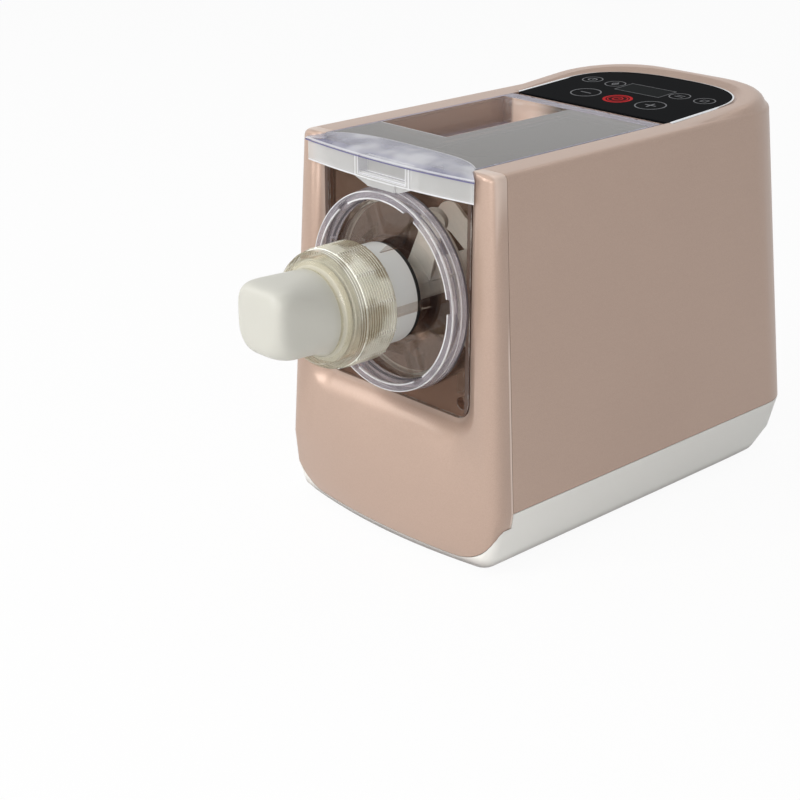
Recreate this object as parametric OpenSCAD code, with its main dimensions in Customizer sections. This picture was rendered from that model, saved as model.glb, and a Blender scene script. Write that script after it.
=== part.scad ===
// Electric pasta maker: a drafted shell over a mixing bowl, with a lid,
// a removable front cover that carries an elbow nozzle, and a geared drive.
// X is to the right, Y to the rear, Z up. All sizes are in millimetres.

/* [Body shell] */
// Width across the side walls just under the shoulder
top_w = 180; // [174:1:190]
// Width at the seam between the coloured shell and the base
skirt_w = 206; // [198:1:214]
// Width of the underside
base_w = 176; // [160:1:186]
// Depth at the shoulder, from the front corners to the rear wall
top_d = 320; // [318:1:330]
// Depth at the skirt seam
skirt_d = 326; // [324:1:340]
// Depth of the underside
base_d = 296; // [285:1:305]
// Height of the flat rails beside the lid
rail_h = 269; // [266:1:275]
// Height of the seam between the coloured shell and the base
skirt_h = 46; // [38:1:54]
// Ground clearance under the base
ground_gap = 3.4; // [2.5:0.1:6]
// Thickness of the shell walls
wall = 2.8; // [2:0.1:3.2]
// How far the middle of the front bulges ahead of its corners
front_bulge = 9; // [6:0.5:11]
// How far the front leans out between the shoulder and the skirt
front_lean = 3.6; // [1:0.1:6]
// Radius of the front corners in plan
front_r = 8; // [7:0.5:10.5]
// Radius of the rear corners at the shoulder
rear_r = 61; // [50:1:64]
// Radius of the rear corners at the skirt seam
skirt_rear_r = 36; // [32:1:46]
// Radius of the rolled shoulder
shoulder = 4; // [3:0.5:5]
// Distance of the fascia seam behind the front corners
seam_y = 11; // [9.5:0.5:14]
// Width of the seams between shell pieces
seam_gap = 0.4; // [0.3:0.1:0.6]

/* [Front window] */
// Half width of the bay behind the window, between the rails
bay_half = 69.5; // [69.3:0.1:71]
// Width of the soft bevel round the window
bevel_w = 10; // [8:0.5:11]
// Height of the window's opening, from its sill up to the rails
window_h = 166.6; // [165:0.2:169]
// Drop of the sill across the bevel
sill_drop = 10; // [7:0.5:14]
// Radius of the window's lower inner corners
win_r = 12; // [8:0.5:16]
// Distance of the window's inner edge behind the front corners
lip_y = 3; // [2.5:0.1:4]
// Height of the fascia's lower edge
fascia_foot = 9; // [8:0.5:14]

/* [Rear hump and panel] */
// Distance of the fold where the top starts to rise
fold_y = 197; // [196:0.5:202]
// Slope of the rising top
hump_tilt = 4.5; // [4:0.5:6]
// Slope of the glass control panel
panel_tilt = 2.8; // [2.2:0.1:3.4]
// Half width of the glass control panel
panel_half = 69.6; // [62:0.2:70]
// Length of the control panel along its slope
panel_len = 102; // [94:1:104]
// Length of the panel's straight sides
panel_side = 50; // [36:1:56]
// Squareness of the panel's rounded rear, where 2 would be an ellipse
panel_square = 2.6; // [2.2:0.1:3.2]
// Thickness of the panel glass
glass_t = 1.6; // [1.2:0.1:2]
// Width of the bright trim round the panel
trim_w = 1.2; // [0.8:0.1:1.6]

/* [Lid] */
// Gap between the lid and the rails
lid_gap = 0.5; // [0.4:0.1:0.8]
// Thickness of the lid plate
lid_t = 3; // [2.5:0.1:3.5]
// Depth of the skirt that hangs from the lid's front lip
lid_skirt = 15; // [12:0.5:15]
// Distance of the hinge axis behind the front corners
hinge_y = 183; // [180:0.5:184]
// Radius of the hinge barrel along the lid's rear edge
barrel_r = 7.5; // [6:0.25:8]
// Radius of the hinge pins
hinge_pin_r = 2; // [1.5:0.1:3]
// Depth of the pouring recess at the far rail
pour_depth = 21; // [16:0.5:21]

/* [Bowl and cover] */
// Depth of the drive axis below the rails
axis_drop = 92; // [91:0.5:93]
// Outer radius of the bowl's round bottom
bowl_r = 67; // [64:0.5:67.5]
// Wall of the bowl
bowl_wall = 2.5; // [2:0.1:3]
// Depth of the bowl's rim below the rails
rim_drop = 22; // [22:0.5:25]
// Length of the bowl behind its front flange
bowl_len = 184; // [178:1:185]
// Radius of the hole in the bowl's front flange
mouth_r = 61; // [58:0.5:62]
// Outer radius of the cover's ring
ring_r = 68.5; // [66:0.5:68.5]
// Distance that the cover's ring stands out in front
ring_out = 11; // [9:0.5:13]
// Outer radius of the white barrel that the nut turns on
barrel_tube_r = 33.5; // [31:0.5:35]
// Bore that the screw feeds the dough through
feed_r = 25.5; // [24:0.5:26]

/* [Nozzle and nut] */
// Outer radius of the locking nut
nut_r = 39.5; // [39:0.5:42]
// Length of the locking nut
nut_len = 38; // [34:1:42]
// Distance from the front corners to the nut's rear edge
nut_back = 32; // [28:1:36]
// Radius of the nozzle's round neck
neck_r = 28; // [25:0.5:30]
// Width of the nozzle's nose
nose_w = 47; // [43:1:50]
// Length of the nose in front of the nut
nose_len = 44; // [40:1:50]
// Height of the nose's top above the drive axis
nose_up = 27; // [25:0.5:28]
// Depth of the nose's underside below the drive axis
nose_down = 20; // [18.5:0.5:22]
// Radius of the outlet in the underside
outlet_r = 16; // [14.5:0.5:17]
// Radius of one hole in the shaping disc
die_hole_r = 1.3; // [0.8:0.1:1.5]

/* [Drive] */
// Radius of the drive shaft
shaft_r = 6; // [5:0.1:6.5]
// Radius of the feed screw
screw_r = 24; // [22:0.5:24.5]
// Pitch of the feed screw
screw_pitch = 20; // [16:1:26]
// Reach of the mixing arms from the axis
arm_reach = 57; // [50:1:60]
// Radial play in each bearing
play = 0.05; // [0.02:0.01:0.09]
// Tooth size of the slow pair
slow_module = 2; // [1.8:0.05:2]
// Tooth size of the fast pair
fast_module = 1.25; // [1.1:0.05:1.3]
// Radius of the motor
motor_r = 38; // [32:1:40]
// Length of the motor
motor_len = 60; // [50:1:62]

/* [Base] */
// Radius of the rubber feet
foot_r = 9; // [7:0.5:12]
// Radius of the cable gland in the rear wall
gland_r = 6.5; // [5:0.5:8]

/* [Hidden] */
$fn = 64;
eps = 0.01;

skirt_half = skirt_w / 2;
top_half = top_w / 2;
base_half = base_w / 2;

// Heights that hang from the rails
sill_h = rail_h - window_h;
axis_h = rail_h - axis_drop;
bowl_top = rail_h - rim_drop;

// The bay that holds the bowl
clear = 0.5;
frame_t = 2.5;
lid_half = bay_half - lid_gap;
bay_rear = hinge_y + barrel_r + 1;
frame_back = bay_rear + frame_t;
bay_floor = sill_h - 3.5;

// The drive train behind the bay
slow_teeth = 42;
slow_pinion_teeth = 12;
fast_teeth = 48;
fast_pinion_teeth = 12;
slow_gap = slow_module * (slow_teeth + slow_pinion_teeth) / 2;
fast_gap = fast_module * (fast_teeth + fast_pinion_teeth) / 2;
middle_h = axis_h - slow_gap;
motor_h = middle_h - fast_gap;
box_wall = 3;
box_front = frame_back;
slow_face = 12;
fast_face = 8;
gear_gap = 2;
slow_y = box_front + box_wall + gear_gap;
fast_y = slow_y + slow_face + gear_gap;
box_back = fast_y + fast_face + gear_gap;
motor_y = box_back + box_wall;
cap_t = 4;
motor_end = motor_y + motor_len;
box_half = slow_module * slow_teeth / 2 + 8;
motor_shaft_r = 4;
axle_r = 4;
bearing_r = shaft_r + 6;

// Nut, barrel and nozzle, measured forward from the front corners
nut_front = nut_back + nut_len;
nut_lip = 4;
flange_t = 3.6;
barrel_end = nut_front - nut_lip - flange_t - 0.6;
nut_bore_r = barrel_tube_r + 0.5;
nose_front = nut_front + nose_len;
reach = nose_front;
mid_y = (skirt_d - reach) / 2;

// Places the drawing, made from the front corners, at the middle of the whole length
module placed() {
    translate([0, -mid_y, 0])
        children();
}

function arc_points(cx, cy, r, from, to, steps) =
    [for (i = [0:steps]) let (a = from + (to - from) * i / steps) [cx + r * cos(a), cy + r * sin(a)]];

function bulge_y(x, half, front, bulge) = front - bulge * (1 - pow(x / half, 2));

// Plan of the body: round rear corners, a bowed front and small front corners
function body_outline(half, front, rear, corner, back_r, bulge) =
    let (side = half - corner, ease = bulge * (1 - pow(side / half, 2)))
    concat(
        arc_points(half - back_r, rear - back_r, back_r, 0, 90, 9),
        arc_points(back_r - half, rear - back_r, back_r, 90, 180, 9),
        arc_points(-side, front + corner - ease, corner, 180, 265, 4),
        [for (i = [-6:6]) let (x = side * i / 6 * 0.99) [x, bulge_y(x, half, front, bulge)]],
        arc_points(side, front + corner - ease, corner, 275, 360, 4));

function rear_outline(half, front, rear, back_r) =
    concat(
        arc_points(half - back_r, rear - back_r, back_r, 0, 90, 9),
        arc_points(back_r - half, rear - back_r, back_r, 90, 180, 9),
        [[-half, front], [half, front]]);

// Levels of the body: height, half width, front, rear, rear radius
levels = [
    [ground_gap, base_half, 2, base_d, skirt_rear_r - 4],
    [ground_gap + 5, base_half + (skirt_half - base_half) * 0.4, -1.5, base_d + 14, skirt_rear_r - 3],
    [ground_gap + 20, base_half + (skirt_half - base_half) * 0.8, -3.2, skirt_d - 6, skirt_rear_r - 1],
    [skirt_h, skirt_half, -front_lean, skirt_d, skirt_rear_r],
    [rail_h - shoulder, top_half, 0, top_d, rear_r],
    [rail_h - shoulder * 0.5, top_half - shoulder * 0.13, shoulder * 0.1, top_d - shoulder * 0.13, rear_r],
    [rail_h - shoulder * 0.13, top_half - shoulder * 0.5, shoulder * 0.3, top_d - shoulder * 0.5, rear_r],
    [rail_h - eps, top_half - shoulder, shoulder * 0.6, top_d - shoulder, rear_r]];

// The whole outer form of the body, or its inside when drawn in by t
module body_form(t) {
    hull() {
        for (s = levels)
            translate([0, 0, s[0] < skirt_h ? s[0] + t : s[0] > skirt_h ? s[0] - t : s[0]])
                linear_extrude(eps)
                    polygon(body_outline(s[1] - t, s[2] + t, s[3] - t, front_r - t, s[4] - t, front_bulge));
    }
}

// Moves a drawing onto the rising rear top, its y axis running up the slope from the fold
module on_slope() {
    translate([0, fold_y, rail_h])
        rotate([hump_tilt, 0, 0])
            children();
}

// Levels of the rising top: depth below the slope, side inset, rear inset, loss of corner radius
hump_levels = [[8, 1, 4, 0], [4.5, 1.8, 6, 1], [2, 3.4, 9, 3], [0.6, 5.4, 12.5, 5.5], [0, 8, 17, 8.5]];
hump_lead = 4;

module hump_form(t) {
    rise = (top_d - fold_y) / cos(hump_tilt);
    hull() {
        translate([0, 0, rail_h - 2 * shoulder])
            linear_extrude(eps)
                polygon(rear_outline(top_half - t, fold_y - hump_lead + t, top_d - t, rear_r - t));
        // The sloping levels start ahead of the fold, under the flat rails
        on_slope()
            for (s = hump_levels)
                translate([0, 0, -t - s[0] - eps])
                    linear_extrude(eps)
                        polygon(rear_outline(top_half - s[1] - t, t - hump_lead, rise - s[2] - t,
                                             rear_r - s[3] - t));
    }
}

// Front view of what belongs to the fascia, with its turned-up lower corners
module fascia_front(gap) {
    corner = skirt_h - fascia_foot;
    foot_half = skirt_half - corner;
    reach_x = skirt_half + 20;
    polygon(concat(
        [[-reach_x, rail_h + 20], [-reach_x, skirt_h + gap], [-skirt_half - 1, skirt_h + gap]],
        arc_points(-foot_half, skirt_h, corner - gap, 190, 270, 10),
        arc_points(foot_half, skirt_h, corner - gap, 270, 350, 10),
        [[skirt_half + 1, skirt_h + gap], [reach_x, skirt_h + gap], [reach_x, rail_h + 20]]));
}

module fascia_region(gap) {
    depth = 60;
    translate([0, seam_y - gap, 0])
        rotate([90, 0, 0])
            linear_extrude(depth)
                fascia_front(gap);
}

// A U-shaped outline seen from the front, open upward past the rails
module u_outline(half, sill, r, top) {
    polygon(concat(
        [[half, top]],
        [[-half, top]],
        arc_points(-half + r, sill + r, r, 180, 270, 6),
        arc_points(half - r, sill + r, r, 270, 360, 6)));
}

module u_slice(y, half, sill, r) {
    translate([0, y, 0])
        rotate([90, 0, 0])
            linear_extrude(eps)
                u_outline(half, sill, r, rail_h + 15);
}

// The bevelled tunnel of the front window, or the material round it when grown
module window_tunnel(grow, back) {
    front = -front_lean;
    hull() {
        u_slice(front - 12, bay_half + bevel_w * 2.4 + grow, sill_h - sill_drop * 2.2 - grow, win_r + 20);
        u_slice(front, bay_half + bevel_w + grow, sill_h - sill_drop - grow, win_r + 8);
        u_slice(lip_y + back, bay_half + grow, sill_h - grow, win_r);
    }
}

panel_drop = 0.2;
panel_gap = 0.3;
panel_steps = 32;
ledge_t = 1.8;
ledge_w = 7;
seat_play = 0.25;
flare_h = 10;
flare_w = 16;

// Moves a drawing onto the glass panel's plane, its y axis running up the slope from the bay
module on_panel() {
    translate([0, bay_rear, rail_h - panel_drop])
        rotate([panel_tilt, 0, 0])
            children();
}

// Plan of the panel: straight sides in front, then a squarish ellipse round the rear
module panel_outline(grow, front) {
    polygon(concat(
        [for (i = [0:panel_steps])
            let (a = 180 * i / panel_steps)
            [(panel_half + grow) * sign(cos(a)) * pow(abs(cos(a)), 2 / panel_square),
             panel_side + (panel_len - panel_side + grow) * pow(sin(a), 2 / panel_square)]],
        [[-panel_half - grow, front], [panel_half + grow, front]]));
}

// The panel's seat with its flared wall, or the moulding round it when grown
module panel_seat(grow, front) {
    seat_edge = trim_w + seat_play + grow;
    on_panel()
        hull() {
            translate([0, 0, -glass_t - grow])
                linear_extrude(glass_t + grow)
                    panel_outline(seat_edge, front);
            translate([0, 0, flare_h])
                linear_extrude(eps)
                    panel_outline(seat_edge + flare_w, front);
        }
}

module main_housing() {
    color([0.77, 0.68, 0.62])
    placed() {
        difference() {
            union() {
                intersection() {
                    body_form(0);
                    translate([-skirt_half - 5, seam_y + seam_gap / 2, skirt_h + seam_gap / 2])
                        cube([skirt_w + 10, skirt_d + 10, rail_h]);
                }
                hump_form(0);
            }
            // The hollow inside, which spares the moulding round the panel's seat
            difference() {
                union() {
                    body_form(wall);
                    hump_form(wall);
                }
                panel_seat(ledge_t, -1);
            }
            panel_seat(0, -0.4);
            on_panel()
                translate([0, 0, -ledge_w])
                    linear_extrude(2 * ledge_w)
                        panel_outline(-ledge_w, ledge_w);
            // Opening over the bowl
            translate([-bay_half, 0, rail_h - 20])
                cube([2 * bay_half, bay_rear, 30]);
            gland_bore();
            rear_louvres();
        }
    }
}

gland_x = 46;
gland_h = skirt_h + 22;

module gland_bore() {
    translate([gland_x, skirt_d - 30, gland_h])
        rotate([-90, 0, 0])
            cylinder(r = gland_r + 0.1, h = 60);
}

louvre_rows = 7;
louvre_pitch = 7;

module rear_louvres() {
    for (i = [0:louvre_rows - 1])
        translate([-32, skirt_d - 30, motor_h + 8 + louvre_pitch * i])
            cube([54, 60, 2.6]);
}

module front_fascia() {
    color([0.79, 0.70, 0.64])
    placed() {
        difference() {
            intersection() {
                body_form(0);
                fascia_region(seam_gap / 2);
                union() {
                    difference() {
                        translate([-skirt_half - 5, -40, 0])
                            cube([skirt_w + 10, 40 + seam_y, rail_h + 5]);
                        body_form(wall);
                    }
                    window_tunnel(wall, 2);
                }
            }
            window_tunnel(0, 0);
            translate([0, lip_y + 10, 0])
                rotate([90, 0, 0])
                    linear_extrude(10.1)
                        u_outline(bay_half, sill_h, win_r, rail_h + 15);
        }
    }
}

deck_y = 22;
stand_rows = [deck_y + 12, (deck_y + motor_end) / 2 - 4, motor_end - 24];
stand_points = [for (x = [-1, 1], y = stand_rows) [x * (bay_half + frame_t / 2 - 6), y]];
vent_rows = 6;
vent_w = 60;

module base_tray() {
    color([0.90, 0.90, 0.88])
    placed() {
        difference() {
            union() {
                difference() {
                    intersection() {
                        body_form(0);
                        translate([-skirt_half - 5, -40, 0])
                            cube([skirt_w + 10, skirt_d + 50, skirt_h - seam_gap / 2]);
                    }
                    body_form(wall);
                    fascia_region(-seam_gap / 2);
                }
                // Bosses that the base screws go up through
                for (p = stand_points)
                    translate([p[0], p[1], ground_gap + wall - 0.5])
                        cylinder(r = 5, h = boss_h + 0.5);
            }
            for (p = stand_points)
                translate([p[0], p[1], -1])
                    cylinder(r = screw_hole_r, h = 40);
            // Air slots under the motor
            for (i = [0:vent_rows - 1])
                translate([-vent_w / 2, motor_y + 6 + 8 * i, -1])
                    cube([vent_w, 3, 12]);
        }
    }
}

boss_h = 8;
deck_t = 5;
screw_hole_r = 1.8;
frame_foot = ground_gap + wall + boss_h;

module inner_frame() {
    pad = 10;
    frame_front = lip_y + 4;
    frame_low = frame_foot + deck_t - 1;
    color([0.60, 0.52, 0.47])
    placed() {
        difference() {
            union() {
                // Side walls of the bay
                for (s = [-1, 1])
                    translate([s > 0 ? bay_half : -bay_half - frame_t, frame_front, frame_low])
                        cube([frame_t, frame_back - frame_front, rail_h - wall - 0.3 - frame_low]);
                // Floor of the bay and its rear wall
                translate([-bay_half - eps, frame_front, bay_floor - frame_t])
                    cube([2 * bay_half + 2 * eps, frame_back - frame_front, frame_t]);
                translate([-bay_half - eps, bay_rear, frame_low])
                    cube([2 * bay_half + 2 * eps, frame_t, rail_h - wall - 0.5 - frame_low]);
                // Deck that stands on the bosses and carries the motor's saddle
                translate([-bay_half - frame_t, deck_y, frame_foot])
                    cube([2 * (bay_half + frame_t), motor_end - 6 - deck_y, deck_t]);
                // Ribs under the floor
                for (y = [60, 120])
                    translate([-bay_half - eps, y, frame_low])
                        cube([2 * bay_half + 2 * eps, frame_t, bay_floor - frame_foot - deck_t]);
                // Saddle under the motor
                for (y = [motor_y + 8, motor_end - 14])
                    translate([-motor_r, y, frame_low])
                        cube([2 * motor_r, 6, motor_h - frame_foot - deck_t - 12]);
            }
            // Windows that lighten the deck and the ribs
            translate([-50, 66, frame_foot - 1])
                cube([100, 50, 10]);
            for (y = [60, 120])
                translate([-40, y - 1, frame_foot + 20])
                    cube([80, frame_t + 2, 40]);
            translate([-30, motor_y + 18, frame_foot - 1])
                cube([60, motor_len - 36, 10]);
            // Room under the moulding of the panel's seat
            translate([-bay_half - 5, bay_rear - 3, rail_h - panel_drop - glass_t - ledge_t - 0.4])
                cube([2 * bay_half + 10, 10, 10]);
            // Shaft hole, motor saddle and hinge pin holes
            tube_along(shaft_r + 1.5, bay_rear - 5, frame_back + 5, axis_h);
            tube_along(motor_r, motor_y - 20, motor_end + 20, motor_h);
            translate([-bay_half - 10, hinge_y, rail_h - barrel_r])
                rotate([0, 90, 0])
                    cylinder(r = hinge_pin_r, h = 2 * bay_half + 20);
            for (p = stand_points)
                translate([p[0], p[1], frame_foot - 1])
                    cylinder(r = screw_r_base, h = pad);
        }
    }
}

screw_r_base = 1.5;

// A solid round bar along Y between two places
module tube_along(r, y0, y1, z) {
    translate([0, y0, z])
        rotate([-90, 0, 0])
            cylinder(r = r, h = y1 - y0);
}

// A ring along Y
module ring_along(r_out, r_in, y0, y1, z) {
    difference() {
        tube_along(r_out, y0, y1, z);
        tube_along(r_in, y0 - 1, y1 + 1, z);
    }
}

module control_panel() {
    color([0.10, 0.10, 0.11])
    placed()
        on_panel()
            translate([0, 0, -glass_t + 0.1])
                linear_extrude(glass_t)
                    panel_outline(0, panel_gap);
}

module panel_trim() {
    color([0.78, 0.79, 0.80])
    placed()
        on_panel()
            translate([0, 0, -glass_t + 0.1])
                linear_extrude(glass_t + 0.3)
                    difference() {
                        panel_outline(trim_w, panel_gap);
                        panel_outline(0.1, -1);
                    }
}

board_t = 1.6;
board_top = -glass_t - ledge_t - 0.2;
key_spots = [[-30, 29], [0, 29], [30, 29], [-52, 62], [-30, 62], [30, 62], [52, 62]];

module touch_board() {
    color([0.10, 0.35, 0.20])
    placed()
        on_panel() {
            translate([0, 0, board_top - board_t])
                linear_extrude(board_t)
                    panel_outline(-3, 3.5);
            // Spring contacts under the touch rings
            for (p = key_spots)
                translate([p[0], p[1], board_top - eps])
                    cylinder(r = 4, h = ledge_t);
        }
}

module display_module() {
    color([0.25, 0.25, 0.28])
    placed()
        on_panel()
            translate([-20, 50, board_top])
                cube([40, 20, ledge_t]);
}

lid_lip_half = 79;
lid_lip_y = -6;
lid_neck_y = 2.2;
plate_front = 30;
crease_y = 20;
crease_drop = 15;

// Plan of the lid's front lip: bowed edge, drawn in to the rails behind
function lip_points(inset) = concat(
    [for (i = [-8:8])
        let (x = (lid_lip_half - inset) * i / 8)
        [x, inset + bulge_y(x, lid_lip_half, lid_lip_y, 6)]],
    [[lid_half - inset, lid_neck_y], [inset - lid_half, lid_neck_y]]);

// Plan of the crease between the flat plate and the sloping nose
function crease_points() = concat(
    [for (i = [-8:8]) [lid_half * i / 8, crease_y - crease_drop * pow(i / 8, 4)]],
    [[lid_half, plate_front], [-lid_half, plate_front]]);

module lid_plan() {
    polygon(lip_points(0));
    translate([-lid_half, lid_neck_y])
        square([2 * lid_half, hinge_y - lip_y]);
}

pour_front = 52;
pour_back = hinge_y - barrel_r - 3;
pour_mid = -4;

lid_nose = 3.5;
skirt_z = rail_h - lid_nose - lid_skirt;
finger_half = 22;

module lid_front() {
    // Sloping bull-nose front with its curved crease
    intersection() {
        linear_extrude(rail_h)
            lid_plan();
        hull() {
            translate([-lid_half, plate_front, rail_h - lid_t])
                cube([2 * lid_half, eps, lid_t]);
            translate([0, 0, rail_h - eps])
                linear_extrude(eps)
                    polygon(crease_points());
            translate([0, 0, rail_h - lid_nose - 1.5])
                linear_extrude(1.5)
                    polygon(lip_points(0));
            translate([0, 0, rail_h - lid_nose])
                linear_extrude(1.2)
                    polygon(lip_points(2));
        }
    }
    // Hanging front skirt with the finger pocket behind it
    difference() {
        translate([0, 0, skirt_z])
            linear_extrude(lid_skirt + 0.5)
                polygon(lip_points(1.5));
        translate([0, 0, skirt_z - 1])
            linear_extrude(lid_skirt + 5)
                difference() {
                    polygon(lip_points(4));
                    translate([-finger_half - 2, -20])
                        square([2 * finger_half + 4, 40]);
                }
        translate([-lid_lip_half, lip_y - 3, skirt_z - 1])
            cube([2 * lid_lip_half, 5, lid_skirt + 5]);
        translate([-finger_half, -20, skirt_z + 2])
            cube([2 * finger_half, 18, lid_skirt - 4]);
    }
}

knuckle_cuts = 5;
knuckle_pitch = 24;

module lid() {
    color([0.80, 0.82, 0.84, 0.5])
    placed() {
        difference() {
            union() {
                // Flat plate
                translate([-lid_half, plate_front, rail_h - lid_t])
                    cube([2 * lid_half, hinge_y - plate_front, lid_t]);
                lid_front();
                latch_tab();
                // Side flanges
                for (s = [-1, 1])
                    translate([s > 0 ? lid_half - 2 : -lid_half, 8, rail_h - lid_t - 6])
                        cube([2, hinge_y - barrel_r - 10, 6.5]);
                tube_across(barrel_r, hinge_y, rail_h - barrel_r, lid_half - 1);
                pour_walls();
            }
            pour_space();
            // Cuts between the knuckles of the hinge barrel
            for (i = [0:knuckle_cuts - 1])
                translate([knuckle_pitch * (i - (knuckle_cuts - 1) / 2) - 1, hinge_y - 1, rail_h - 5])
                    cube([2, barrel_r + 5, 10]);
            // Bores of the hinge pins
            for (s = [-1, 1])
                translate([s * (lid_half - 13), hinge_y, rail_h - barrel_r])
                    rotate([0, s * 90, 0])
                        cylinder(r = hinge_pin_r + play, h = 20);
        }
    }
}

module tube_across(r, y, z, half) {
    translate([-half, y, z])
        rotate([0, 90, 0])
            cylinder(r = r, h = 2 * half);
}

// Tapered tab below the lid's skirt, with a catch block just above the cover's ring
module latch_tab() {
    foot = axis_h + ring_r + 0.6;
    translate([0, -6.5, 0])
        rotate([90, 0, 0])
            linear_extrude(2.5)
                polygon([[-29, skirt_z + 4], [29, skirt_z + 4], [29, skirt_z + 0.5], [15, foot], [-15, foot],
                         [-29, skirt_z + 0.5]]);
    translate([-13, -10.5, foot])
        cube([26, 5, 5]);
}

// Front view of the pouring recess, falling towards the far rail
module pour_profile(out) {
    deep = rail_h - pour_depth;
    polygon([
        [-lid_half + 2.4 - out, rail_h + 4], [-lid_half + 2.4 - out, deep + 2.4 - out],
        [-lid_half + 8, deep + 2.4 - out], [pour_mid + out, rail_h - lid_t + 0.6 - out],
        [pour_mid + out, rail_h + 4]]);
}

module pour_walls() {
    intersection() {
        translate([0, pour_back + 2.4, 0])
            rotate([90, 0, 0])
                linear_extrude(pour_back - pour_front + 4.8)
                    pour_profile(2.4);
        translate([-lid_half, 0, 0])
            cube([2 * lid_half, hinge_y, rail_h]);
    }
}

module pour_space() {
    translate([0, pour_back, 0])
        rotate([90, 0, 0])
            linear_extrude(pour_back - pour_front)
                pour_profile(0);
    // Slots that let the liquid run down into the bowl
    for (i = [0:4])
        translate([-lid_half + 7, pour_front + 14 + 20 * i, rail_h - pour_depth - 5])
            cube([5, 12, 12]);
}

module lid_hinge_pins() {
    color([0.70, 0.71, 0.72])
    placed()
        for (s = [-1, 1])
            translate([s * (lid_half - 12), hinge_y, rail_h - barrel_r])
                rotate([0, s * 90, 0])
                    cylinder(r = hinge_pin_r, h = 12 + clear + frame_t);
}

module lid_seal() {
    seal_w = 2.5;
    seal_h = 4;
    seal_x = pour_mid + 6;
    seal_front = plate_front + 1;
    seal_len = pour_back - seal_front - 8;
    color([0.88, 0.88, 0.86])
    placed()
        translate([seal_x, seal_front, rail_h - lid_t - seal_h])
            difference() {
                cube([lid_half - 4 - seal_x, seal_len, seal_h]);
                translate([seal_w, seal_w, -1])
                    cube([lid_half - 4 - seal_x - 2 * seal_w, seal_len - 2 * seal_w, seal_h + 2]);
            }
}

module lid_switch() {
    color([0.12, 0.12, 0.13])
    placed()
        translate([bay_half + frame_t, hinge_y - 25, rail_h - wall - 14]) {
            cube([6.4, 20, 10]);
            translate([2, 8, 10 - eps])
                cube([2.4, 4, 1.6]);
        }
}

flange_y = 2;
flange_plate = 3;
bowl_front = flange_y + flange_plate;
bowl_back = bowl_front + bowl_len;
flange_half = bay_half - clear;

// Cross-section of the bowl: square above the axis, round below
module bowl_section(inset) {
    circle(bowl_r - inset, $fn = 96);
    translate([inset - bowl_r, 0])
        square([2 * (bowl_r - inset), bowl_top - axis_h + inset * 2]);
}

module bowl_prism(inset, y0, y1, top) {
    intersection() {
        translate([0, y1, axis_h])
            rotate([90, 0, 0])
                linear_extrude(y1 - y0)
                    bowl_section(inset);
        translate([-bowl_r - 5, y0 - 1, 0])
            cube([2 * bowl_r + 10, y1 - y0 + 2, top]);
    }
}

hub_r = 14;
post_x = 24;
post_w = 6;
post_top = axis_h - sqrt(pow(bowl_r - bowl_wall, 2) - pow(post_x - post_w / 2, 2)) - 0.2;

module mixing_bowl() {
    color([0.85, 0.87, 0.88, 0.45])
    placed() {
        difference() {
            union() {
                bowl_prism(0, bowl_front - 0.5, bowl_back, bowl_top);
                // Front flange that fills the window
                translate([0, bowl_front, 0])
                    rotate([90, 0, 0])
                        linear_extrude(flange_plate)
                            difference() {
                                u_outline(flange_half, sill_h + clear, win_r - clear, bowl_top + 1);
                                translate([0, axis_h])
                                    circle(mouth_r);
                            }
                // Posts in the flange's lower corners
                for (s = [-1, 1])
                    translate([s * (flange_half - 9), bowl_front - 0.5, sill_h + 10])
                        rotate([-90, 0, 0])
                            cylinder(r = 4, h = 6.5);
            }
            difference() {
                bowl_prism(bowl_wall, bowl_front + 0.5, bowl_back - 3, bowl_top + 5);
                tube_along(hub_r + 3, bowl_back - 8, bowl_back, axis_h);
            }
            tube_along(mouth_r, 0, bowl_front + 2, axis_h);
            tube_along(hub_r, bowl_back - 10, bowl_back + 1, axis_h);
        }
        // Floor posts that carry the bowl in the bay
        for (s = [-1, 1], y = [bowl_front + 35, bowl_back - 39])
            translate([s * post_x - post_w / 2, y, bay_floor])
                cube([post_w, 10, post_top - bay_floor]);
    }
}

module bowl_seal() {
    color([0.30, 0.30, 0.31])
    placed()
        difference() {
            union() {
                tube_along(hub_r, bowl_back - 8, bowl_back, axis_h);
                tube_along(hub_r + 2.5, bowl_back, bowl_back + 1.2, axis_h);
            }
            tube_along(shaft_r + play, bowl_back - 12, bowl_back + 4, axis_h);
        }
}

ring_wall = 7;
rib_count = 8;
disc_t = 2.5;
hub_front = 6;
notch_count = 6;
gusset_x = 12;
gusset_len = 22;
gusset_rise = 11;
gusset_low = sqrt(pow(barrel_tube_r, 2) - pow(gusset_x - 1, 2)) + 0.6;

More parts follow.
